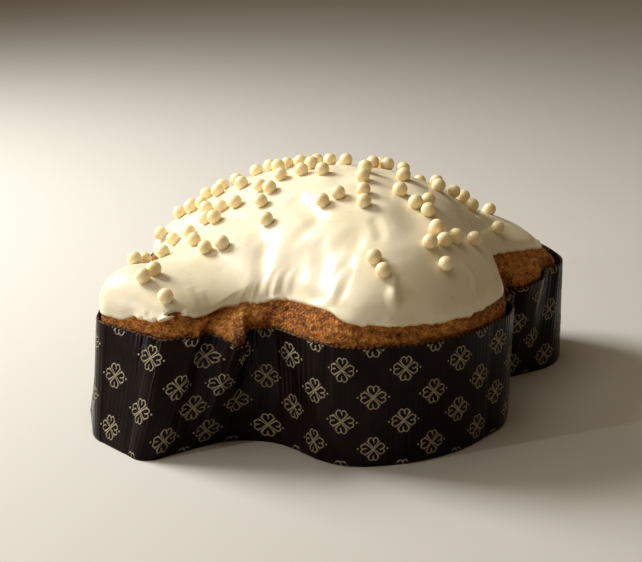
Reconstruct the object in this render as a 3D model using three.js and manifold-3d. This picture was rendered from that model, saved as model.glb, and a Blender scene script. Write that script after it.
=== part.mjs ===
// A colomba: a dove-shaped sweet loaf in its paper case, with ivory icing and sugar pearls.
// Millimetres, +Z up. The origin is the middle of the bottom, +X runs from the head lobe to the tail lobe,
// and the two wings spread along Y.
import * as THREE from 'three';
import { mergeVertices } from 'three/addons/utils/BufferGeometryUtils.js';
import Module from 'manifold-3d';

// ---------- driving dimensions ----------

const CASE_HEIGHT = 55;
const PAPER = 1.2;            // thickness of the case's wall and floor
const GAP = 0.3;              // clearance between pieces that touch
const CRUST_INSET = 2.3;      // from the outside of the paper to the crust
const SHOULDER = 53;          // height where the crust leaves the case
const ICING = 2.4;            // thickness of the icing
const ICING_LIP = 1.5;        // thickness of the icing at its lower edge
const PEARL_RADIUS = 3.4;
const PEARL_SINK = 1.0;       // depth of a pearl in the icing
const PEARL_COUNT = 92;
const PEARL_SEED = 20240331;
const STEP = 7.5;             // spacing of the points round the outline
const FOLD_STEP = 3.6;        // the same where the paper is folded

// Corners of the dove outline, anticlockwise from the tip of the head: x, y, corner radius.
// The rim has the same corners as the floor, so each stretch of wall leans between the two.
const FLOOR_CORNERS = [
  [-132, 0, 18], [-123, -36, 9], [-65, -31, 31], [-52, -83, 29], [-9, -100, 71], [44, -81, 34],
  [65, -36, 16], [118, -35.5, 33], [129, 0, 40], [118, 35.5, 33], [60, 36, 16], [33, 81, 34],
  [-20, 100, 71], [-70, 89, 29], [-76, 32, 31], [-120, 36, 9],
];
const RIM_CORNERS = [
  [-127, 4, 14], [-107, -37, 14], [-66, -36, 22], [-51, -83, 27], [-8, -100, 71], [44.5, -81, 30],
  [60, -50, 14], [114, -33, 26], [124.5, 2, 40], [114, 34, 26], [57, 46, 16], [34, 81, 30],
  [-19, 100, 71], [-69, 89, 27], [-77, 38, 22], [-108, 38, 12],
];

// Folds of the paper, strongest at the rim: x, y of the spot on the floor outline, outward depth, half width.
const FOLDS = [
  [-108, -34, 3, 12], [-101, -34, -5, 9], [-89, -33.5, 16, 18], [-68, -38, 2, 8], [-60, -52, -1, 7],
  [56, -62, -2.5, 7], [63, -47, 4, 8], [70, -38, -3, 6], [82, -36, 5, 11], [95, -36, -2, 9],
  [-104, 34, -3, 8], [-94, 34, 5, 10], [-84, 34, -3, 7], [-79, 40, 4, 9], [-74, 54, -2.5, 8],
  [56, 52, -3, 7], [64, 38, 5, 9], [78, 36, -2.5, 8],
];
const FOLD_POWER = 1.4;       // how quickly a fold dies away below the rim
const RIM_DROP = 110;         // a wall that leans by a stands a^2 / RIM_DROP lower
const LIP_REACH = 13;         // the crust follows a fold up to this distance from the rim
const LIP_SAG = 0.1;          // and sags by this share of its depth

// Where the loaf has shrunk away from the paper: x, y of the spot, extra inset, half width.
const SHRINKAGE = [[52, -66, 2.2, 34], [122, -6, 5.3, 40], [60, 50, 3, 30]];

// Height of the crown over the shoulder along the spine: x, height.
const SPINE = [[-132, 66], [-95, 32], [-55, 38], [-10, 52.5], [40, 51.5], [85, 30], [129, 20]];

// Width of the bare crust below the icing, measured up the slope from the rim: x, y of the spot, width.
const BARE_CRUST = [
  [-131, 0, 4], [-126, -24, 6], [-117, -35, 13], [-104, -34, 15.5], [-86, -34, 12.5], [-71, -36, 12.5],
  [-60, -52, 14.5], [-54, -72, 15], [-45, -84, 11], [-28, -90, 9], [0, -95, 8.5], [28, -88, 9.5],
  [43, -78, 11], [61, -52, 12], [70, -38, 18], [95, -36, 16], [120, -20, 11], [128, 0, 9], [120, 20, 9],
  [90, 36, 11], [62, 42, 15], [50, 66, 11], [10, 92, 8], [-30, 96, 9], [-70, 78, 6], [-76, 44, 8],
  [-100, 34, 13], [-126, 20, 6],
];

// Pearls that touch, in short rows: x, y of the first one, how many, direction of the row in degrees.
const PEARL_ROWS = [
  [-101, 17, 2, 25], [-83, 24, 1, 0], [-67, 47, 1, 0], [-65, 66.5, 1, 0], [-108, -9, 2, 27],
  [-104, -24, 1, 0], [-73, 0, 1, 0], [-66, -4, 1, 0], [-49, 66, 2, 118], [-46, 59, 1, 0], [-49, 47, 1, 0],
  [-57, 31, 2, -82], [-48, 33, 1, 0], [-37, 72, 1, 0], [-36, 61, 1, 0], [-30, 68, 2, -40],
  [-17, 56, 2, -48], [-22, 21, 1, 0], [-32, 23, 1, 0], [-31, 15, 1, 0], [-39, 9, 1, 0], [-45, -8, 1, 0],
  [-7, 43, 2, -50], [-14, 15, 1, 0], [-6, 20, 1, 0], [3, 31, 2, -55], [-9, 4, 1, 0], [12, 18, 1, 0],
  [-24, -23, 2, -13], [8, -6, 1, 0], [0, -17, 1, 0], [-7, -29, 1, 0], [-12, -38, 1, 0], [21, 8, 2, -18],
  [29, 14, 1, 0], [33, 0, 1, 0], [22, -18, 1, 0], [9, -34, 1, 0], [10, -46, 2, 8], [12, -53, 1, 0],
  [47, -8, 1, 0], [37, -24, 1, 0], [55, -11, 1, 0], [63, -8, 1, 0], [61, -18, 1, 0], [84, -3, 1, 0],
  [68, -30, 1, 0], [9, -64, 2, -100], [0, -72, 1, 0], [16, -68, 1, 0], [28, -65, 1, 0], [2, -81, 1, 0],
  [-25, -68, 2, -90],
];

// ---------- outline ----------

// A closed path of one arc and one straight for each corner.
function roundedPath(corners) {
  const points = corners.map(([x, y]) => new THREE.Vector2(x, y));
  const arcs = corners.map(([, , radius], i) => {
    const corner = points[i];
    const back = points.at(i - 1).clone().sub(corner).normalize();
    const ahead = points[(i + 1) % points.length].clone().sub(corner).normalize();
    const half = Math.acos(THREE.MathUtils.clamp(back.dot(ahead), -1, 1)) / 2;
    const inwards = back.clone().add(ahead).normalize();
    const centre = corner.clone().addScaledVector(inwards, radius / Math.sin(half));
    const reach = radius / Math.tan(half);
    const start = corner.clone().addScaledVector(back, reach).sub(centre);
    const end = corner.clone().addScaledVector(ahead, reach).sub(centre);
    const clockwise = start.cross(end) < 0;
    return new THREE.EllipseCurve(centre.x, centre.y, radius, radius, start.angle(), end.angle(), clockwise);
  });
  const path = new THREE.CurvePath();
  arcs.forEach((arc, i) => {
    const next = arcs[(i + 1) % arcs.length];
    path.add(arc);
    path.add(new THREE.LineCurve(arc.getPoint(1), next.getPoint(0)));
  });
  return path;
}

// Matching points of the floor and rim outlines, with the distance of each along the floor outline.
// They lie closer together where the paper is folded.
function pairedOutlines() {
  const floor = roundedPath(FLOOR_CORNERS).curves;
  const rim = roundedPath(RIM_CORNERS).curves;
  const pitch = 0.5;
  const stations = [];
  let travelled = 0;
  let due = 1;
  floor.forEach((curve, i) => {
    const length = curve.getLength();
    const count = Math.ceil(length / pitch);
    for (let k = 0; k < count; k++) {
      const t = k / count;
      const point = curve.getPoint(t);
      const inFold = FOLDS.some(([x, y, , halfWidth]) => Math.hypot(point.x - x, point.y - y) < halfWidth);
      due += length / count / (inFold ? FOLD_STEP : STEP);
      if (due >= 1) {
        stations.push({ floor: point, rim: rim[i].getPoint(t), along: travelled + length * t });
        due -= 1;
      }
    }
    travelled += length;
  });
  return { stations, perimeter: travelled };
}

function outwardNormals(points) {
  return points.map((_, i) => {
    const tangent = points[(i + 1) % points.length].clone().sub(points.at(i - 1)).normalize();
    return new THREE.Vector2(tangent.y, -tangent.x);
  });
}

const { stations, perimeter } = pairedOutlines();
const floorLine = stations.map((station) => station.floor);
const rimLine = stations.map((station) => station.rim);
const floorNormals = outwardNormals(floorLine);
const rimNormals = outwardNormals(rimLine);

function nearest(x, y) {
  const distances = floorLine.map((point) => Math.hypot(point.x - x, point.y - y));
  return distances.indexOf(Math.min(...distances));
}

// A smooth bump round the outline about one station: 1 on its flat top, and 0 from halfWidth on.
function bump(middle, halfWidth) {
  return stations.map(({ along }) => {
    const apart = along - stations[middle].along + perimeter / 2;
    const gap = Math.abs(THREE.MathUtils.euclideanModulo(apart, perimeter) - perimeter / 2);
    return THREE.MathUtils.smoothstep(1.25 * (1 - gap / halfWidth), 0, 1);
  });
}

// A value that runs smoothly between spots round the outline, at each station.
function blended(list) {
  const spots = list.map(([x, y, value]) => ({ along: stations[nearest(x, y)].along, value }));
  spots.sort((a, b) => a.along - b.along);
  return stations.map(({ along }) => {
    const next = spots.findIndex((spot) => spot.along > along);
    const to = spots[next < 0 ? 0 : next];
    const from = spots.at(next < 0 ? -1 : next - 1);
    const span = THREE.MathUtils.euclideanModulo(to.along - from.along, perimeter);
    const done = THREE.MathUtils.euclideanModulo(along - from.along, perimeter) / span;
    return THREE.MathUtils.lerp(from.value, to.value, THREE.MathUtils.smoothstep(done, 0, 1));
  });
}

// Each fold is pushed one way, along the normal in its middle.
const folds = stations.map(() => new THREE.Vector2());
for (const [x, y, depth, halfWidth] of FOLDS) {
  const middle = nearest(x, y);
  bump(middle, halfWidth).forEach((weight, i) => {
    folds[i].addScaledVector(rimNormals[middle], depth * weight);
  });
}

const shrinkage = stations.map(() => 0);
for (const [x, y, depth, halfWidth] of SHRINKAGE) {
  bump(nearest(x, y), halfWidth).forEach((weight, i) => { shrinkage[i] += depth * weight; });
}

const bareCrust = blended(BARE_CRUST);

// ---------- case wall ----------

const rimHeights = stations.map((_, i) => {
  const lean = rimLine[i].clone().add(folds[i]).sub(floorLine[i]).dot(floorNormals[i]);
  return CASE_HEIGHT - lean * lean / RIM_DROP;
});

// The wall's plan at a share of its height for each station, with a share of the folds, moved inwards.
function wallPlan(shares, foldShare, insets) {
  const plan = stations.map((_, i) => {
    const foldHere = foldShare * shares[i] ** FOLD_POWER;
    return floorLine[i].clone().lerp(rimLine[i], shares[i]).addScaledVector(folds[i], foldHere);
  });
  const normals = outwardNormals(plan);
  return plan.map((point, i) => point.addScaledVector(normals[i], -insets[i]));
}

function wallLoop(share, inset = 0) {
  const plan = wallPlan(stations.map(() => share), 1, stations.map(() => inset));
  return plan.map((point, i) => new THREE.Vector3(point.x, point.y, rimHeights[i] * share));
}

// Where the crust leaves the case: as it would be without the folds, and as it follows them.
const crustShares = rimHeights.map((height) => Math.min(1, SHOULDER / height));
const crustInsets = shrinkage.map((extra) => CRUST_INSET + extra);
const crustLine = wallPlan(crustShares, 0, crustInsets);
const foldedCrustLine = wallPlan(crustShares, 1, crustInsets);

// ---------- crown ----------

// Close to the crust's outline this is the distance to it, and further in it is a smooth measure of width:
// pi over the integral of 1 / r^2 along the outline.
function openness(x, y) {
  let sum = 0;
  crustLine.forEach((start, i) => {
    const end = crustLine[(i + 1) % crustLine.length];
    const length = start.distanceTo(end);
    const side = end.clone().sub(start).divideScalar(length);
    const apart = new THREE.Vector2(x, y).sub(start);
    const along = apart.dot(side);
    const across = Math.abs(apart.cross(side)) + 1e-6;
    sum += (Math.atan((length - along) / across) + Math.atan(along / across)) / across;
  });
  return Math.PI / sum;
}
const widest = openness(0, 0);

function spineHeight(x) {
  const last = SPINE.length - 2;
  const i = THREE.MathUtils.clamp(SPINE.findIndex(([knot]) => knot > x) - 1, 0, last);
  const slope = (k) => {
    const before = SPINE[Math.max(k - 1, 0)];
    const after = SPINE[Math.min(k + 1, SPINE.length - 1)];
    return (after[1] - before[1]) / (after[0] - before[0]);
  };
  const span = SPINE[i + 1][0] - SPINE[i][0];
  const t = THREE.MathUtils.clamp((x - SPINE[i][0]) / span, 0, 1);
  return (2 * t ** 3 - 3 * t ** 2 + 1) * SPINE[i][1] + (t ** 3 - 2 * t ** 2 + t) * span * slope(i)
    + (3 * t ** 2 - 2 * t ** 3) * SPINE[i + 1][1] + (t ** 3 - t ** 2) * span * slope(i + 1);
}

function crownHeight(x, y) {
  return SHOULDER + spineHeight(x) * Math.sqrt(openness(x, y) / widest);
}

function crownPoint(x, y) {
  return new THREE.Vector3(x, y, crownHeight(x, y));
}

// The crust's surface at a station, at a share of the way from the centre to the crust's outline.
function crustPoint(i, share) {
  if (share === 1) return new THREE.Vector3(crustLine[i].x, crustLine[i].y, SHOULDER);
  return crownPoint(crustLine[i].x * share, crustLine[i].y * share);
}

// The share at which the slope from the outline has the width of the bare crust.
function icingShare(i) {
  const stride = 0.004;
  let share = 1;
  let slope = 0;
  let point = crustPoint(i, share);
  while (slope < bareCrust[i]) {
    share -= stride;
    const next = crustPoint(i, share);
    slope += next.distanceTo(point);
    point = next;
  }
  return share;
}
const icingShares = stations.map((_, i) => icingShare(i));

// The crust follows the folds of the paper and sags over those that lean out, most at the rim.
function folded(point, i) {
  const away = Math.hypot(point.x - crustLine[i].x, point.y - crustLine[i].y, point.z - SHOULDER);
  const strength = 1 - THREE.MathUtils.smoothstep(away, 0, LIP_REACH);
  point.x += (foldedCrustLine[i].x - crustLine[i].x) * strength;
  point.y += (foldedCrustLine[i].y - crustLine[i].y) * strength;
  point.z -= Math.max(folds[i].dot(rimNormals[i]), 0) * LIP_SAG * strength;
  return point;
}

const CRUST_STEPS = [1, 0.5];                          // shares of the bare band, from the rim up
const CROWN_STEPS = [1, 0.975, 0.9, 0.76, 0.55, 0.28]; // shares of the iced part, from its edge to the centre
const crustLoops = CRUST_STEPS.map((band) => stations.map((_, i) => (
  folded(crustPoint(i, THREE.MathUtils.lerp(icingShares[i], 1, band)), i))));
const crownLoops = CROWN_STEPS.map((share) => stations.map((_, i) => (
  folded(crustPoint(i, icingShares[i] * share), i))));

// Outward normals of the crown's loops, from their neighbours on the surface.
const crownNormals = crownLoops.map((loop, k) => loop.map((_, i) => {
  const below = (crownLoops[k - 1] ?? crustLoops.at(-1))[i];
  const above = crownLoops[k + 1]?.[i] ?? crownPoint(0, 0);
  const along = loop[(i + 1) % loop.length].clone().sub(loop.at(i - 1));
  return along.cross(above.clone().sub(below)).normalize();
}));

function offsetLoop(k, distance) {
  return crownLoops[k].map((point, i) => point.clone().addScaledVector(crownNormals[k][i], distance));
}

// ---------- solids ----------

// A closed body through a run of loops, with a fan to a centre point at each end.
function skin(loops, firstCentre, lastCentre) {
  const count = stations.length;
  const positions = [...loops.flat(), firstCentre, lastCentre].flatMap((point) => point.toArray());
  const first = loops.length * count;
  const index = [];
  for (let i = 0; i < count; i++) {
    const next = (i + 1) % count;
    index.push(first, next, i);
    for (let k = 0; k < loops.length - 1; k++) {
      const low = k * count;
      const high = low + count;
      // facing surfaces share their diagonals, so that the gap between them stays even
      if (loops[k + 1][i].z >= loops[k][i].z) {
        index.push(low + i, low + next, high + next, low + i, high + next, high + i);
      } else {
        index.push(low + i, low + next, high + i, low + next, high + next, high + i);
      }
    }
    const top = (loops.length - 1) * count;
    index.push(first + 1, top + i, top + next);
  }
  const geometry = new THREE.BufferGeometry();
  geometry.setAttribute('position', new THREE.Float32BufferAttribute(positions, 3));
  geometry.setIndex(index);
  return geometry;
}

function caseGeometry() {
  const outer = [wallLoop(0), wallLoop(0.5), wallLoop(1)];
  const inner = [wallLoop(1, PAPER), wallLoop(0.5, PAPER)];
  const floor = wallLoop(0, PAPER).map((point) => point.setZ(PAPER));
  return skin([...outer, ...inner, floor], new THREE.Vector3(0, 0, 0), new THREE.Vector3(0, 0, PAPER));
}

function cakeGeometry() {
  const inset = PAPER + GAP;
  const base = PAPER + GAP;
  const bottom = wallLoop(0, inset + GAP).map((point) => point.setZ(base));
  const side = wallLoop(0.5, inset + GAP);
  const loops = [bottom, side, ...crustLoops, ...crownLoops];
  return skin(loops, new THREE.Vector3(0, 0, base), crownPoint(0, 0));
}

function icingGeometry() {
  const order = CROWN_STEPS.map((_, k) => k);
  const inner = order.toReversed().map((k) => offsetLoop(k, GAP));
  const outer = order.map((k) => offsetLoop(k, GAP + (k === 0 ? ICING_LIP : ICING)));
  const apex = crownPoint(0, 0);
  const underside = apex.clone().setZ(apex.z + GAP);
  return skin([...inner, ...outer], underside, apex.clone().setZ(apex.z + GAP + ICING));
}

// ---------- pearls ----------

function randomSource(seed) {
  let state = seed;
  return () => {
    state = (state * 48271) % 2147483647;
    return state / 2147483647;
  };
}

// Is a plan point on the icing, clear of its edge?
function onIcing(x, y) {
  const margin = 6;
  const angle = (point) => Math.atan2(point.y, point.x);
  const turns = crustLine.map((point) => Math.abs(THREE.MathUtils.euclideanModulo(
    angle(point) - Math.atan2(y, x) + Math.PI, 2 * Math.PI) - Math.PI));
  const i = turns.indexOf(Math.min(...turns));
  return Math.hypot(x, y) < crustLine[i].length() * icingShares[i] - margin;
}

// The rows first, then single pearls at random on the crown and its far side, none closer than touching.
function pearlSpots() {
  const spacing = 2 * PEARL_RADIUS + GAP;
  const spots = PEARL_ROWS.flatMap(([x, y, count, degrees]) => Array.from({ length: count }, (_, k) => {
    const angle = THREE.MathUtils.degToRad(degrees);
    return [x + spacing * k * Math.cos(angle), y + spacing * k * Math.sin(angle)];
  }));
  const random = randomSource(PEARL_SEED);
  while (spots.length < PEARL_COUNT) {
    const x = THREE.MathUtils.lerp(-115, 115, random());
    const y = THREE.MathUtils.lerp(12, 90, random());
    const free = spots.every(([u, v]) => Math.hypot(u - x, v - y) > spacing * 1.15);
    if (free && onIcing(x, y)) spots.push([x, y]);
  }
  return spots;
}

// A pearl of few facets, sunk a little into the face of the icing below its spot.
function pearlGeometry(icing, x, y) {
  const fullness = 1.08;     // the corners stand outside the round so that the pearl keeps its size
  const above = new THREE.Vector3(x, y, 2 * CASE_HEIGHT + SHOULDER);
  const [hit] = new THREE.Raycaster(above, new THREE.Vector3(0, 0, -1)).intersectObject(icing);
  const centre = hit.point.clone().addScaledVector(hit.face.normal, PEARL_RADIUS - PEARL_SINK);
  const pearl = new THREE.OctahedronGeometry(PEARL_RADIUS * fullness, 1);
  return pearl.translate(centre.x, centre.y, centre.z);
}

const manifold = await Module();
manifold.setup();

function toSolid(geometry) {
  geometry.deleteAttribute('normal');
  geometry.deleteAttribute('uv');
  const merged = mergeVertices(geometry, 1e-4);
  return new manifold.Manifold(new manifold.Mesh({
    numProp: 3,
    vertProperties: merged.attributes.position.array,
    triVerts: new Uint32Array(merged.index.array),
  }));
}

function toGeometry(solid) {
  const mesh = solid.getMesh();
  const geometry = new THREE.BufferGeometry();
  geometry.setAttribute('position', new THREE.BufferAttribute(mesh.vertProperties, 3));
  geometry.setIndex(new THREE.BufferAttribute(mesh.triVerts, 1));
  return geometry;
}

function icingWithPearls() {
  const icing = icingGeometry();
  const surface = new THREE.Mesh(icing);
  const pearls = pearlSpots().map(([x, y]) => toSolid(pearlGeometry(surface, x, y)));
  return toGeometry(manifold.Manifold.union([toSolid(icing), ...pearls]));
}

// ---------- the part ----------

const finishes = {
  paper: new THREE.MeshStandardMaterial({ color: 0x1c1411, roughness: 0.35, metalness: 0 }),
  crust: new THREE.MeshStandardMaterial({ color: 0x9a5a22, roughness: 0.75, metalness: 0 }),
  icing: new THREE.MeshStandardMaterial({ color: 0xefe4c4, roughness: 0.35, metalness: 0 }),
};

function piece(name, geometry, material) {
  geometry.computeVertexNormals();
  const mesh = new THREE.Mesh(geometry, material);
  mesh.name = name;
  return mesh;
}

const group = new THREE.Group();
group.add(
  piece('paper_case', caseGeometry(), finishes.paper),
  piece('cake', cakeGeometry(), finishes.crust),
  piece('icing', icingWithPearls(), finishes.icing),
);
const middle = new THREE.Box3().setFromObject(group).getCenter(new THREE.Vector3());
group.position.set(-middle.x, -middle.y, 0);

export default group;
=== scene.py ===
"""A colomba: a dove-shaped sweet loaf in its paper case, with ivory icing and sugar pearls.

The shapes are worked out in millimetres, from the same values as the part's solids, and make_mesh turns them
into metres. +X runs from the head to the tail, and the two wings spread along Y.
"""
import math

import bpy
import numpy as np
from mathutils import Matrix, Vector
from mathutils.bvhtree import BVHTree


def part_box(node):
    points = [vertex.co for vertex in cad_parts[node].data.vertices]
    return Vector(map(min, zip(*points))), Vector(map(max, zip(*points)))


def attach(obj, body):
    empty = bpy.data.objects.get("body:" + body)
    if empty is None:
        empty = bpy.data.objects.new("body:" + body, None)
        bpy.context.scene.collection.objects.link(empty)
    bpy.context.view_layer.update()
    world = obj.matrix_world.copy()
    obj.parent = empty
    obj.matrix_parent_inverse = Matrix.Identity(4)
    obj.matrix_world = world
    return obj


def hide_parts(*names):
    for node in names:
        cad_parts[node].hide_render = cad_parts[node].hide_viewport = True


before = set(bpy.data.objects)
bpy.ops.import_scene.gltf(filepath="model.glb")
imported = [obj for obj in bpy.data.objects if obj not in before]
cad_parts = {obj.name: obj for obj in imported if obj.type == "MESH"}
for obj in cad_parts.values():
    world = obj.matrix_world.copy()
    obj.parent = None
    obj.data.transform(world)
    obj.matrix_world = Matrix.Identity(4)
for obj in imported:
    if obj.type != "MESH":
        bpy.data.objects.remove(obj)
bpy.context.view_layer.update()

MM = 0.001
TINY = 1e-6

# ---------- driving dimensions, as in the solids ----------

CASE_HEIGHT = 55
PAPER = 1.2                # thickness of the case's wall and floor
GAP = 0.3                  # clearance between pieces that touch
CRUST_INSET = 2.3          # from the outside of the paper to the crust
SHOULDER = 53              # height where the crust leaves the case
ICING = 2.4                # thickness of the icing
PEARL_RADIUS = 3.4
PEARL_SINK = 1.0           # depth of a pearl in the icing
PEARL_MARGIN = 6           # the scattered pearls keep this far from the icing's edge
PEARL_COUNT = 92
PEARL_SEED = 20240331
SCATTER_X = (-115, 115)    # the single pearls are scattered between these
SCATTER_Y = (12, 90)

# Corners of the dove outline, anticlockwise from the tip of the head: x, y, corner radius.
# The rim has the same corners as the floor, so each stretch of wall leans between the two.
FLOOR_CORNERS = [
    (-132, 0, 18), (-123, -36, 9), (-65, -31, 31), (-52, -83, 29), (-9, -100, 71), (44, -81, 34),
    (65, -36, 16), (118, -35.5, 33), (129, 0, 40), (118, 35.5, 33), (60, 36, 16), (33, 81, 34),
    (-20, 100, 71), (-70, 89, 29), (-76, 32, 31), (-120, 36, 9),
]
RIM_CORNERS = [
    (-127, 4, 14), (-107, -37, 14), (-66, -36, 22), (-51, -83, 27), (-8, -100, 71), (44.5, -81, 30),
    (60, -50, 14), (114, -33, 26), (124.5, 2, 40), (114, 34, 26), (57, 46, 16), (34, 81, 30),
    (-19, 100, 71), (-69, 89, 27), (-77, 38, 22), (-108, 38, 12),
]

# Folds of the paper, strongest at the rim: x, y of the spot on the floor outline, outward depth, half width.
FOLDS = [
    (-108, -34, 3, 12), (-101, -34, -5, 9), (-89, -33.5, 16, 18), (-68, -38, 2, 8), (-60, -52, -1, 7),
    (56, -62, -2.5, 7), (63, -47, 4, 8), (70, -38, -3, 6), (82, -36, 5, 11), (95, -36, -2, 9),
    (-104, 34, -3, 8), (-94, 34, 5, 10), (-84, 34, -3, 7), (-79, 40, 4, 9), (-74, 54, -2.5, 8),
    (56, 52, -3, 7), (64, 38, 5, 9), (78, 36, -2.5, 8),
]
FOLD_POWER = 1.4           # how quickly a fold dies away below the rim
RIM_DROP = 110             # a wall that leans by a stands a^2 / RIM_DROP lower
LIP_REACH = 13             # the crust follows a fold up to this distance from the rim
LIP_SAG = 0.1              # and sags by this share of its depth

# Where the loaf has shrunk away from the paper: x, y of the spot, extra inset, half width.
SHRINKAGE = [(52, -66, 2.2, 34), (122, -6, 5.3, 40), (60, 50, 3, 30)]

# Height of the crown over the shoulder along the spine: x, height.
SPINE = [(-132, 66), (-95, 32), (-55, 38), (-10, 52.5), (40, 51.5), (85, 30), (129, 20)]

# Width of the bare crust below the icing, measured up the slope from the rim: x, y of the spot, width.
BARE_CRUST = [
    (-131, 0, 4), (-126, -24, 6), (-117, -35, 13), (-104, -34, 15.5), (-86, -34, 12.5), (-71, -36, 12.5),
    (-60, -52, 14.5), (-54, -72, 15), (-45, -84, 11), (-28, -90, 9), (0, -95, 8.5), (28, -88, 9.5),
    (43, -78, 11), (61, -52, 12), (70, -38, 18), (95, -36, 16), (120, -20, 11), (128, 0, 9), (120, 20, 9),
    (90, 36, 11), (62, 42, 15), (50, 66, 11), (10, 92, 8), (-30, 96, 9), (-70, 78, 6), (-76, 44, 8),
    (-100, 34, 13), (-126, 20, 6),
]

# Pearls that touch, in short rows: x, y of the first one, how many, direction of the row in degrees.
PEARL_ROWS = [
    (-101, 17, 2, 25), (-83, 24, 1, 0), (-67, 47, 1, 0), (-65, 66.5, 1, 0), (-108, -9, 2, 27),
    (-104, -24, 1, 0), (-73, 0, 1, 0), (-66, -4, 1, 0), (-49, 66, 2, 118), (-46, 59, 1, 0),
    (-49, 47, 1, 0), (-57, 31, 2, -82), (-48, 33, 1, 0), (-37, 72, 1, 0), (-36, 61, 1, 0),
    (-30, 68, 2, -40), (-17, 56, 2, -48), (-22, 21, 1, 0), (-32, 23, 1, 0), (-31, 15, 1, 0),
    (-39, 9, 1, 0), (-45, -8, 1, 0), (-7, 43, 2, -50), (-14, 15, 1, 0), (-6, 20, 1, 0), (3, 31, 2, -55),
    (-9, 4, 1, 0), (12, 18, 1, 0), (-24, -23, 2, -13), (8, -6, 1, 0), (0, -17, 1, 0), (-7, -29, 1, 0),
    (-12, -38, 1, 0), (21, 8, 2, -18), (29, 14, 1, 0), (33, 0, 1, 0), (22, -18, 1, 0), (9, -34, 1, 0),
    (10, -46, 2, 8), (12, -53, 1, 0), (47, -8, 1, 0), (37, -24, 1, 0), (55, -11, 1, 0), (63, -8, 1, 0),
    (61, -18, 1, 0), (84, -3, 1, 0), (68, -30, 1, 0), (9, -64, 2, -100), (0, -72, 1, 0), (16, -68, 1, 0),
    (28, -65, 1, 0), (2, -81, 1, 0), (-25, -68, 2, -90),
]

# ---------- noise ----------


def lattice_random(cell, seed):
    """Random numbers in 0..1, one for each whole-number cell."""
    cell = cell.astype(np.int64)
    x, y, z = (cell[..., axis] for axis in range(3))
    mixed = (x * 73856093) ^ (y * 19349663) ^ (z * 83492791) ^ (seed * 2654435761)
    mixed = (mixed ^ (mixed >> 13)) * 1274126177 & 0xFFFFFFFF
    mixed = (mixed ^ (mixed >> 15)) * 2246822519 & 0xFFFFFFFF
    return (mixed ^ (mixed >> 16)) / 0xFFFFFFFF


def noise(points, size, seed):
    """Smooth noise in -1..1 whose bumps are about as large as size."""
    scaled = points / size
    cell = np.floor(scaled)
    t = scaled - cell
    t = t * t * t * (t * (6 * t - 15) + 10)
    total = 0
    for corner in np.ndindex(2, 2, 2):
        weight = np.prod(np.where(np.array(corner) == 1, t, 1 - t), axis=-1)
        total = total + weight * lattice_random(cell + corner, seed)
    return 2 * total - 1


def layered_noise(points, layers):
    """A sum of noises, each given as (height, size, seed)."""
    return sum(height * noise(points, size, seed) for height, size, seed in layers)


def cell_distance(points, size, seed):
    """Distance to the nearest of a set of scattered spots, one for each cell, in cell sizes."""
    scaled = points / size
    cell = np.floor(scaled)
    nearest = np.full(scaled.shape[:-1], 9.0)
    for corner in np.ndindex(3, 3, 3):
        near = cell + corner - 1
        spot = near + np.stack([lattice_random(near, seed + k) for k in range(3)], -1)
        nearest = np.minimum(nearest, np.linalg.norm(spot - scaled, axis=-1))
    return nearest


def smooth(t):
    """0 up to t = 0 and 1 from t = 1 on, with a soft start and end between."""
    t = np.clip(t, 0, 1)
    return t * t * (3 - 2 * t)


# ---------- outline ----------


def unit(vector):
    return vector / np.linalg.norm(vector)


def direction(bearing):
    """Unit vectors in plan."""
    return np.stack([np.cos(bearing), np.sin(bearing)], -1)


def rounded_path(corners):
    """An arc and a straight for each corner of a closed path, as (length, function of the share t)."""
    points = np.array([corner[:2] for corner in corners], float)
    arcs = []
    for i, (_, _, radius) in enumerate(corners):
        back = unit(points[i - 1] - points[i])
        ahead = unit(points[(i + 1) % len(points)] - points[i])
        half = math.acos(back @ ahead) / 2
        centre = points[i] + unit(back + ahead) * radius / math.sin(half)
        reach = radius / math.tan(half)
        ends = [points[i] + side * reach - centre for side in (back, ahead)]
        start, end = (math.atan2(y, x) for x, y in ends)
        turn = (end - start + math.pi) % (2 * math.pi) - math.pi
        arcs.append((centre, radius, start, turn))

    def arc(centre, radius, start, turn):
        return lambda t: centre + radius * direction(start + turn * t)

    def straight(first, last):
        return lambda t: first + (last - first) * np.asarray(t)[..., None]

    pieces = []
    for i, (centre, radius, start, turn) in enumerate(arcs):
        this_arc, next_arc = arc(centre, radius, start, turn), arc(*arcs[(i + 1) % len(arcs)])
        first, last = this_arc(1.0), next_arc(0.0)
        pieces.append((abs(turn) * radius, this_arc))
        pieces.append((np.linalg.norm(last - first), straight(first, last)))
    return pieces


def outward_normals(points):
    tangents = np.roll(points, -1, 0) - np.roll(points, 1, 0)
    tangents /= np.linalg.norm(tangents, axis=1)[:, None]
    return np.stack([tangents[:, 1], -tangents[:, 0]], -1)


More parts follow.
